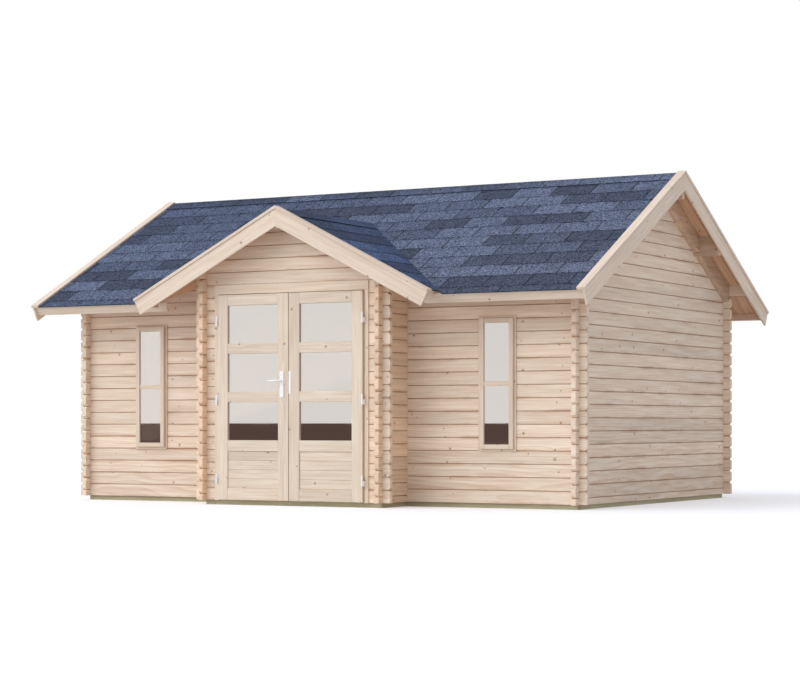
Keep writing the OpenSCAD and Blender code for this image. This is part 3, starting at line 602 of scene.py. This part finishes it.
# %% [markdown]
# ### Barge boards, caps and fascias
#
# Each gable is trimmed by two boards that meet in a plumb cut under the ridge, with a flat cap
# board on top that covers the edge of the shingles. The design gives each pair as one chevron; it
# is laid again here as two boards, so that the joint shows and the grain runs up each slope.

# %% Gable trim
NEAR = 1e-4
TRIM_CHAMFER = 0.002


def plane_of(axis, sign=1):
    """A unit vector along one axis."""
    made = Vector((0, 0, 0))
    made[axis] = sign
    return made


def chevron(pile, low, high, points, normal_axis, chamfer):
    """The two boards of one gable. points are the outline's corners; low and high bound thickness."""
    flat = 1 - normal_axis
    mid = (max(p[flat] for p in points) + min(p[flat] for p in points)) / 2
    for side in (-1, 1):
        half = [p for p in points if (p[flat] - mid) * side >= -NEAR]
        ridge = max(half, key=lambda p: p.z)
        eave = max(half, key=lambda p: (p[flat] - mid) * side)
        heel = min(half, key=lambda p: p.z)
        down = eave - ridge
        down[normal_axis] = 0
        depth = heel - eave
        depth[normal_axis] = 0
        extra = depth.length
        middle = ridge + down / 2 + depth / 2 - down.normalized() * extra / 2
        middle[normal_axis] = (low + high) / 2
        pile.add((down.length + extra, depth.length, high - low), axes(middle, down, depth), chamfer,
                 cuts=[(plane_of(flat, mid), plane_of(flat, -side))])


def trim(name, node_name, normal_axis):
    """Lays every pair of boards in a node of the design."""
    pile = Pile()
    for low, high in solids(node_name):
        a, b = low[normal_axis], high[normal_axis]
        points = [v.co for v in nodes[node_name].data.vertices
                  if a - NEAR <= v.co[normal_axis] <= b + NEAR]
        chevron(pile, a, b, points, normal_axis, TRIM_CHAMFER)
    pile.piece(name, trim_wood, "trim_wood", "cabin", node_name)


trim("gable_barge_boards", "gable_barges", 0)
trim("gable_cap_boards", "gable_caps", 0)
trim("bay_barge_boards", "bay_barge", 1)
trim("bay_cap_boards", "bay_cap", 1)

# %% [markdown]
# The fascias close the lower ends of the roof boards. They hang square to the slope, so each
# takes its tilt from the roof above it.

# %% Fascia boards
def corners(node, low, high):
    """The corners of the solid of a node that fills the box low..high."""
    near = [v.co for v in nodes[node].data.vertices
            if all(low[k] - NEAR <= v.co[k] <= high[k] + NEAR for k in range(3))]
    return [Vector(c) for c in {tuple(round(k, 5) for k in c) for c in near}]


fascias = Pile()
for low, high in solids("fascias"):
    main = high.x - low.x > high.y - low.y
    if main:
        deck = "front_deck" if low.y < 0 else "back_deck"
    else:
        deck = "bay_deck_left" if low.x < 0 else "bay_deck_right"
    points = corners("fascias", low, high)
    turn = axes(sum(points, Vector()) / len(points), plane_of(0 if main else 1), roof_plane(deck)[1])
    size = []
    for k in range(3):
        axis = turn.col[k].to_3d()
        reach = [p.dot(axis) for p in points]
        size.append(max(reach) - min(reach))
    fascias.add(size, turn, TRIM_CHAMFER)
fascias.piece("fascia_boards", trim_wood, "trim_wood", "cabin", "fascias")

# %% [markdown]
# ## Roof boards
#
# The roof is closed with narrow tongued and grooved boards nailed across the purlins, from ridge
# to eave. They show from below, under the overhangs and inside, as a row of fine V joints. Each
# board is laid by itself and cut off at the verge and along the valleys.

# %% Lay the roof boards
BOARD_W = 0.096
BOARD_GAP = 0.0022
BOARD_CHAMFER = 0.0040
TONE_STEP = 0.618
VALLEY_REACH = 1.75


def valley(side):
    """The upright plane through the valley on one side: a point, and its normal towards the bay."""
    main_at, main_n = roof_plane("front_deck")
    bay_at, bay_n = roof_plane("bay_deck_left" if side < 0 else "bay_deck_right")
    line = main_n.cross(bay_n).normalized()
    # the point of both planes that lies on x = 0
    a = Matrix(((main_n.y, main_n.z), (bay_n.y, bay_n.z)))
    y, z = a.inverted() @ Vector((main_n.dot(main_at), bay_n.dot(bay_at)))
    inward = line.cross(Vector((0, 0, 1))).normalized()
    if inward.x * side > 0:
        inward = -inward
    return Vector((0, y, z)), inward


def slope_frame(deck):
    """Ridge point, unit down the slope, unit along the ridge, and normal of a roof layer."""
    at, normal = roof_plane(deck)
    along = Vector((1, 0, 0)) if abs(normal.y) > abs(normal.x) else Vector((0, 1, 0))
    down = along.cross(normal).normalized()
    if down.z > 0:
        down = -down
    low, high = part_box(deck)
    ridge = at + down * ((high.z - at.z) / down.z)
    return ridge, down, along, normal, (low, high)


def lay_boards(name, deck, keep=None):
    """Boards of a slope, kept outside or inside the valleys, or whole."""
    ridge, down, along, normal, (low, high) = slope_frame(deck)
    thick = abs((roof_plane(deck)[0] - roof_plane(deck, -1)[0]).dot(normal))
    length = (high.z - low.z - thick * normal.z) / -down.z
    start, stop = low.dot(along), high.dot(along)
    count = round((stop - start) / BOARD_W)
    width = (stop - start) / count
    pile = Pile()
    for k in range(count):
        place = start + (k + 0.5) * width
        middle = ridge + down * length / 2 - normal * thick / 2
        middle += along * (place - middle.dot(along))
        cut_sets = [[]]
        if keep == "outside" and abs(place) < VALLEY_REACH:
            cut_sets = [[valley(side), (Vector(), plane_of(0, -side))] for side in (-1, 1)]
        elif keep == "inside":
            point, inward = valley(-1 if low.x < -0.1 else 1)
            cut_sets = [[(point, -inward)]]
        for cuts in cut_sets:
            pile.add((length, width - BOARD_GAP, thick), axes(middle, down, along), BOARD_CHAMFER,
                     cuts=cuts, tone=(k * TONE_STEP) % 1.0)
    pile.piece(name, deck_wood, "deck_wood", "cabin", deck)


lay_boards("front_roof_boards", "front_deck", "outside")
lay_boards("back_roof_boards", "back_deck")
lay_boards("bay_roof_boards_left", "bay_deck_left", "inside")
lay_boards("bay_roof_boards_right", "bay_deck_right", "inside")

# %% [markdown]
# ## Floor boards
#
# Floor boards run across the joists. They are only seen through the doors and panes, but the room
# is open when the doors swing, so they are laid like the roof boards.

# %% Lay the floor
FLOOR_BOARD_W = 0.09
FLOOR_EDGE = 0.0015
WALL_GAP = 0.004
NARROWEST = 0.02
floor_pile = Pile()
low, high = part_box("floor_boards")
room = solids("floor_joists")
room_front = min(b[0].y for b in room if b[0].x < -1.5)
count = round((high.y - room_front) / FLOOR_BOARD_W)
for k in range(count):
    y = high.y - (k + 1) * FLOOR_BOARD_W
    upright(floor_pile, (low.x, y, low.z), (high.x, y + FLOOR_BOARD_W - BOARD_GAP, high.z), "x", "z",
            chamfer=FLOOR_EDGE)
rest = high.y - count * FLOOR_BOARD_W
bay_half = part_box("bay_side_right")[0].x - WALL_GAP
while rest > low.y + NARROWEST:
    top = rest
    rest = max(low.y, rest - FLOOR_BOARD_W)
    upright(floor_pile, (-bay_half, rest, low.z), (bay_half, top - BOARD_GAP, high.z), "x", "z",
            chamfer=FLOOR_EDGE)
floor_pile.piece("floor_planks", floor_wood, "floor_wood", "cabin", "floor_boards")

# %% [markdown]
# ## Doors
#
# A glazed leaf is a frame of two full-height stiles with rails between them, three panes, and
# four boards in the field below the lock rail. Made as one block it would look like a stamped
# panel, so each timber is a board of its own, with the grain running its own way.

# %% Door leaves
PANE_LAP = 0.008
FIELD_BOARDS = 4
FIELD_IN = 0.008
FIELD_EDGE = 0.004
LEAF_EDGE = 0.0025
HAIRLINE = 0.0004


def leaf(name, node_name, panes_node, body):
    """The timbers of one door leaf, cut to the design's outline, panes and field."""
    pile = Pile()
    low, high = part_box(node_name)
    panes = solids(panes_node)
    field_low, field_high = levels(node_name)[1:3]
    x0, x1 = panes[0][0].x + PANE_LAP, panes[0][1].x - PANE_LAP
    y0, y1 = low.y, high.y
    for a, b in ((low.x, x0), (x1, high.x)):
        upright(pile, (a, y0, low.z), (b, y1, high.z), "z", "y", chamfer=LEAF_EDGE)
    cuts = [low.z, field_low, field_high]
    for a, b in panes:
        cuts += [a.z + PANE_LAP, b.z - PANE_LAP]
    cuts.append(high.z)
    for a, b in zip(cuts[0::2], cuts[1::2]):
        upright(pile, (x0, y0 + HAIRLINE, a), (x1, y1 - HAIRLINE, b), "x", "y", chamfer=LEAF_EDGE)
    step = (field_high - field_low) / FIELD_BOARDS
    for k in range(FIELD_BOARDS):
        z = field_low + k * step
        upright(pile, (x0, y0 + FIELD_IN, z), (x1, y1 - FIELD_IN, z + step - HAIRLINE), "x", "y",
                chamfer=FIELD_EDGE)
    pile.piece(name, leaf_wood, "leaf_wood", body, node_name)


leaf("leaf_left_timbers", "leaf_left", "panes_left", "left_leaf")
leaf("leaf_right_timbers", "leaf_right", "panes_right", "right_leaf")

# %% [markdown]
# The door frame has a flat casing on the wall, a lining through the wall and a stop behind the
# leaves, with a low sill across the doorway.

# %% Door frame
CASING_T = 0.012
CASING_EDGE = 0.002
FRAME_LAP = 0.020
STOP_IN = 0.028
SILL_H = 0.022


def jamb(pile, s, a, b, y0, y1, z0, z1, **look):
    """An upright from a to b on the side s (-1 left, 1 right) of the doorway."""
    upright(pile, (min(s * a, s * b), y0, z0), (max(s * a, s * b), y1, z1), "z", "y", **look)


pile = Pile()
low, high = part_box("door_frame")
leaf_low, leaf_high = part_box("leaf_left")
gap = leaf_low.z - low.z
wall_face = low.y + CASING_T
opening = -leaf_low.x + gap
head = leaf_high.z + gap
stop = opening - STOP_IN
stop_y = leaf_high.y + gap
for s in (-1, 1):
    jamb(pile, s, opening, high.x, low.y, wall_face, low.z, head, chamfer=CASING_EDGE)
    jamb(pile, s, opening, high.x - FRAME_LAP, wall_face, high.y, low.z, high.z)
    jamb(pile, s, stop, opening, stop_y, high.y, low.z, head)
upright(pile, (low.x, low.y, head), (high.x, wall_face, high.z), "x", "y", chamfer=CASING_EDGE)
upright(pile, (-opening, wall_face, head), (opening, high.y, high.z), "x", "y")
upright(pile, (-stop, stop_y, head - STOP_IN), (stop, high.y, head), "x", "y")
upright(pile, (-stop, stop_y, low.z), (stop, high.y, low.z + SILL_H), "x", "z")
pile.piece("door_frame_timbers", frame_wood, "frame_wood", "cabin", "door_frame")

# %% [markdown]
# ## Windows
#
# The two slim windows are fixed: a flat casing on the wall, a thicker sash inside it, and one bar
# across the glass. They are framed like the leaves, uprights running through.

# %% Window frames
BAR_H = 0.038
BAR_IN = 0.004
SASH_EDGE = 0.003
RAIL_IN = 0.0003


def ring(pile, x0, x1, z0, z1, rim, y0, y1, chamfer):
    """Two uprights and two rails round an opening."""
    for a, b in ((x0, x0 + rim), (x1 - rim, x1)):
        upright(pile, (a, y0, z0), (b, y1, z1), "z", "y", chamfer=chamfer)
    for a, b in ((z0, z0 + rim), (z1 - rim, z1)):
        upright(pile, (x0 + rim, y0 + RAIL_IN, a), (x1 - rim, y1 - RAIL_IN, b), "x", "y",
                chamfer=chamfer)


pile = Pile()
glass_boxes = solids("window_panes")
for (low, high), (glass_low, glass_high) in zip(solids("window_frames"), glass_boxes):
    ring(pile, low.x, high.x, low.z, high.z, FRAME_LAP, front_y - CASING_T, front_y, CASING_EDGE)
    rim = glass_low.x + PANE_LAP - low.x - FRAME_LAP
    x0, x1 = low.x + FRAME_LAP, high.x - FRAME_LAP
    z0, z1 = low.z + FRAME_LAP, high.z - FRAME_LAP
    ring(pile, x0, x1, z0, z1, rim, low.y, high.y, SASH_EDGE)
    middle = (low.z + high.z) / 2
    upright(pile, (x0 + rim, low.y + BAR_IN, middle - BAR_H / 2),
            (x1 - rim, high.y, middle + BAR_H / 2), "x", "y", chamfer=SASH_EDGE)
pile.piece("window_timbers", frame_wood, "frame_wood", "cabin", "window_frames")

# %% [markdown]
# ## Glass
#
# Both doors and windows have coated insulating glass, which mirrors the sky and lets little of
# the dark room through. So the glass is part metallic and part clear, with both set on the shader
# as plain numbers, and only faint streaks left by cleaning change its roughness.

# %% Panes
glass, tree, shader = new_material("coated_glass", 0.01, Metallic=0.8, Transmission_Weight=1.0,
                                   IOR=1.45)
COATING_TONE = (0.84, 0.765, 0.67, 1)
shader.inputs["Base Color"].default_value = COATING_TONE
place = node(tree, "TexCoord").outputs["Object"]
wiped = scaled(tree, place, (6.0, 6.0, 1.5))
smear = node(tree, "TexNoise", Vector=wiped, Scale=1.0, Detail=3.0).outputs["Fac"]
wire(tree, shader.inputs["Roughness"], span(tree, smear, 0.35, 0.7, 0.006, 0.012))
coat(glass, "panes_left", "panes_right", "window_panes")
print("panes", [len(solids(name)) for name in ("panes_left", "panes_right", "window_panes")])

# %% [markdown]
# ## Shingles
#
# The covering is bitumen felt cut into square tabs, with a mineral grit in three blues. A bump
# map would leave the rows flat against the sky, so every tab is a thin plate of its own, a little
# raised at its lower edge by the row below, and the tabs of each row stand half a tab away from
# the last. Each keeps its own tone. Two more values are stored at its corners: how far a point
# lies below the row above, for the shadow band printed there, and how far it lies from the side
# edge, where the slot between two tabs is painted darker as painted shade.

# %% Shingle finish
DARK_BLUE = (0.043, 0.053, 0.083)
MID_BLUE = (0.070, 0.085, 0.128)
PALE_BLUE = (0.108, 0.128, 0.183)
GRAZING_PAINTED_SHADE = (0.50, 0.68, 0.98)
BAND_SHADE = 0.84
SLOT_SHADE = 0.50
shingle, tree, shader = new_material("shingle_grit", 0.85, Specular_IOR_Level=0.35)
place = node(tree, "TexCoord").outputs["Object"]
tone, fall, side = (node(tree, "Attribute", {"attribute_name": stored}).outputs["Fac"]
                    for stored in ("tone", "fall", "side"))
grit = node(tree, "TexVoronoi", Vector=place, Scale=125.0).outputs["Color"]
grit = node(tree, "SeparateColor", Color=grit).outputs["Red"]
clump = node(tree, "TexNoise", Vector=place, Scale=90.0, Detail=4.0, Roughness=0.8).outputs["Fac"]
patch = node(tree, "TexNoise", Vector=place, Scale=9.0, Detail=2.0).outputs["Fac"]
colour = mixed(tree, span(tree, tone, 0.0, 0.5, kind="LINEAR"), DARK_BLUE, MID_BLUE)
colour = mixed(tree, span(tree, tone, 0.5, 1.0, kind="LINEAR"), colour, PALE_BLUE)
speckle = maths(tree, "ADD", maths(tree, "MULTIPLY", grit, 0.6), maths(tree, "MULTIPLY", clump, 0.4))
light = maths(tree, "MULTIPLY", span(tree, speckle, 0.22, 0.78, 0.0, 1.98, "LINEAR"),
              span(tree, patch, 0.3, 0.7, 0.92, 1.08))
light = maths(tree, "MULTIPLY", light, span(tree, fall, 0.030, 0.038, BAND_SHADE, 1.0))
# Painted shade in the slot between two tabs: each tab is darker within 8 mm of its side edges.
light = maths(tree, "MULTIPLY", light, span(tree, side, 0.003, 0.008, SLOT_SHADE, 1.0))
colour = scaled(tree, colour, light)
# Painted shade: where a slope is seen at a grazing angle its grit is painted darker and bluer.
grazing = node(tree, "LayerWeight", Blend=0.5).outputs["Facing"]
colour = mixed(tree, span(tree, grazing, 0.64, 0.84), colour, scaled(tree, colour, GRAZING_PAINTED_SHADE))
wire(tree, shader.inputs["Base Color"], colour)
bump = node(tree, "Bump", Strength=0.6, Distance=0.0015, Height=speckle)
wire(tree, shader.inputs["Normal"], bump.outputs["Normal"])

# %% Tabs
TAB_W = 0.401
TAB_GAP = 0.004
EXPOSED = 0.2235
LAPPED = 0.035
TAB_T = 0.0032
RIDGE_FOLD = 0.16
TONES = (0.0, 0.15, 0.5, 0.6, 0.85, 1.0)
SHEET_TONE = 0.3
OVERHANG = 0.004
FOLD_GAP = 0.002
SHORTEST_ROW = 0.05
SLIVER = 0.01
CELLS, ROWS = 6, 3
WARP = 0.0004


class Roofing:
    """Shingle tabs that become one mesh, with tone, fall and side stored at each corner."""

    def __init__(self):
        self.bm = bmesh.new()
        self.stored = [self.bm.verts.layers.float.new(name) for name in ("tone", "fall", "side")]

    def plate(self, corner, along, down, normal, width, length, lift_top, lift_low, tone):
        """A tab from its upper corner, lifted by different amounts at its top and lower edge."""
        grid = {}
        for j in range(ROWS + 1):
            for i in range(CELLS + 1):
                v = j / ROWS
                warp = rng.uniform(-WARP, WARP) if 0 < i < CELLS else 0.0
                lift = lift_top + (lift_low - lift_top) * v + warp
                flat = corner + along * (width * i / CELLS) + down * (length * v)
                values = (tone, length * v - LAPPED, min(i, CELLS - i) * width / CELLS)
                for layer, depth in ((0, 0.0), (1, TAB_T)):
                    vert = self.bm.verts.new(flat + normal * (lift + depth))
                    for kind, value in zip(self.stored, values):
                        vert[kind] = value
                    grid[layer, j, i] = vert

        def face(*at):
            self.bm.faces.new([grid[a] for a in at])

        for j in range(ROWS):
            for i in range(CELLS):
                face((1, j, i), (1, j + 1, i), (1, j + 1, i + 1), (1, j, i + 1))
                face((0, j, i), (0, j, i + 1), (0, j + 1, i + 1), (0, j + 1, i))
        for i in range(CELLS):
            face((0, ROWS, i), (0, ROWS, i + 1), (1, ROWS, i + 1), (1, ROWS, i))
            face((1, 0, i), (1, 0, i + 1), (0, 0, i + 1), (0, 0, i))
        for j in range(ROWS):
            face((0, j, 0), (0, j + 1, 0), (1, j + 1, 0), (1, j, 0))
            face((1, j, CELLS), (1, j + 1, CELLS), (0, j + 1, CELLS), (0, j, CELLS))

    def take(self, other):
        """Moves the tabs of another roofing into this one."""
        mesh = bpy.data.meshes.new("tabs")
        other.bm.to_mesh(mesh)
        self.bm.from_mesh(mesh)
        bpy.data.meshes.remove(mesh)
        other.bm.free()

    def piece(self, name, *replaced):
        bmesh.ops.recalc_face_normals(self.bm, faces=self.bm.faces[:])
        mesh = bpy.data.meshes.new(name)
        self.bm.to_mesh(mesh)
        show(name, mesh, shingle, "cabin", replaced)


def tab_tones(count):
    """Tones for the tabs of a row, in short runs as they come out of mixed bundles."""
    tones = []
    while len(tones) < count:
        tones += [rng.choice(TONES)] * rng.choice((1, 1, 2, 2, 3))
    return tones[:count]


def lay_shingles(covering, deck, shift):
    """A base sheet and rows of tabs on one slope; shift moves the slots sideways."""
    ridge, down, along, normal, (low, high) = slope_frame(covering)
    lift = (roof_plane(deck)[0] - ridge).dot(normal)
    length = (high.z - low.z + lift * normal.z) / -down.z
    start, stop = low.dot(along), high.dot(along)
    roofing = Roofing()
    roofing.plate(ridge + along * (start - ridge.dot(along)), along, down, normal, stop - start, length,
                  lift, lift, SHEET_TONE)
    row_end = RIDGE_FOLD + FOLD_GAP
    row = 0
    while row_end < length + EXPOSED - SHORTEST_ROW:
        low_edge = min(row_end + EXPOSED, length + OVERHANG)
        top_edge = max(row_end - LAPPED, SLIVER)
        first = shift + (0.0 if row % 2 else TAB_W / 2)
        first -= math.ceil((first - start) / TAB_W) * TAB_W
        count = math.ceil((stop - first) / TAB_W)
        tones = tab_tones(count)
        for k in range(count):
            a = max(start, first + k * TAB_W + TAB_GAP / 2)
            b = min(stop, first + (k + 1) * TAB_W - TAB_GAP / 2)
            if b - a > SLIVER and low_edge - top_edge > 3 * SLIVER:
                corner = ridge + along * (a - ridge.dot(along)) + down * top_edge
                roofing.plate(corner, along, down, normal, b - a, low_edge - top_edge,
                              lift + TAB_T, lift + 2.2 * TAB_T, tones[k])
        row_end += EXPOSED
        row += 1
    return roofing


print("tabs", TAB_W, "wide, exposed", EXPOSED)

# %% Lay the slopes
def clipped(covering, deck, side, shift):
    """Shingles of a slope, trimmed along the valley on one side."""
    roofing = lay_shingles(covering, deck, shift)
    point, inward = valley(side)
    if covering.startswith("front"):
        slice_off(roofing.bm, point, inward)
        slice_off(roofing.bm, Vector(), plane_of(0, -side))
    else:
        slice_off(roofing.bm, point, -inward)
    return roofing


SHIFT_X = 0.262
SHIFT_Y = 0.1
rng = random.Random(21)
state = rng.getstate()
front = clipped("front_covering", "front_deck", -1, SHIFT_X)
rng.setstate(state)
front.take(clipped("front_covering", "front_deck", 1, SHIFT_X))
front.piece("front_shingles", "front_covering")
lay_shingles("back_covering", "back_deck", SHIFT_X).piece("back_shingles", "back_covering")
for end, side in (("left", -1), ("right", 1)):
    laid = clipped("bay_covering_" + end, "bay_deck_" + end, side, SHIFT_Y)
    laid.piece("bay_shingles_" + end, "bay_covering_" + end)

# %% [markdown]
# Along each ridge the roofer folds single tabs over both slopes. The bay's row runs back until it
# meets the main roof.

# %% Ridge caps
CAP_LIFT = 0.002
CAP_TILT = 0.4 * TAB_T


def fold_ridge(name, covering, shift):
    """A row of tabs folded over the ridge of a slope."""
    ridge, down, along, normal, (low, high) = slope_frame(covering)
    start, stop = low.dot(along), high.dot(along)
    roofing = Roofing()
    mirror = Matrix.Diagonal((1, -1, 1)) if abs(along.x) > 0.5 else Matrix.Diagonal((-1, 1, 1))
    first = shift - math.ceil((shift - start) / TAB_W) * TAB_W
    count = math.ceil((stop - first) / TAB_W)
    tones = tab_tones(count)
    for k in range(count):
        a, b = max(start, first + k * TAB_W), min(stop, first + (k + 1) * TAB_W - TAB_GAP / 2)
        if b - a < SLIVER:
            continue
        corner = ridge + along * (a - ridge.dot(along))
        for turn in (Matrix.Identity(3), mirror):
            roofing.plate(corner, along, turn @ down, turn @ normal, b - a, RIDGE_FOLD, CAP_LIFT,
                          CAP_LIFT + CAP_TILT, tones[k])
    roofing.piece(name)


fold_ridge("ridge_caps", "front_covering", SHIFT_X)
fold_ridge("bay_ridge_caps", "bay_covering_left", SHIFT_Y)

# %% [markdown]
# ## Fittings
#
# The lever, its plate and the hinges are steel under a glossy white powder coat. Powder coat is
# not perfectly flat: it has a fine orange-peel ripple, which gives its reflections soft edges.

# %% White powder coat
white, tree, shader = new_material("white_powder_coat", 0.28, Coat_Weight=0.3, Coat_Roughness=0.1)
place = node(tree, "TexCoord").outputs["Object"]
peel = node(tree, "TexNoise", Vector=place, Scale=900.0, Detail=2.0).outputs["Fac"]
dust = node(tree, "TexNoise", Vector=place, Scale=40.0, Detail=3.0).outputs["Fac"]
coating = mixed(tree, span(tree, dust, 0.4, 0.75), (0.92, 0.90, 0.86), (0.85, 0.83, 0.79))
wire(tree, shader.inputs["Base Color"], coating)
wire(tree, shader.inputs["Roughness"], span(tree, dust, 0.3, 0.7, 0.24, 0.36))
bump = node(tree, "Bump", Strength=0.15, Distance=0.0003, Height=peel)
wire(tree, shader.inputs["Normal"], bump.outputs["Normal"])
coat(white, "handle_plate", "lever", "strike_plate", "hinge_pins", "knuckles_left", "knuckles_right")
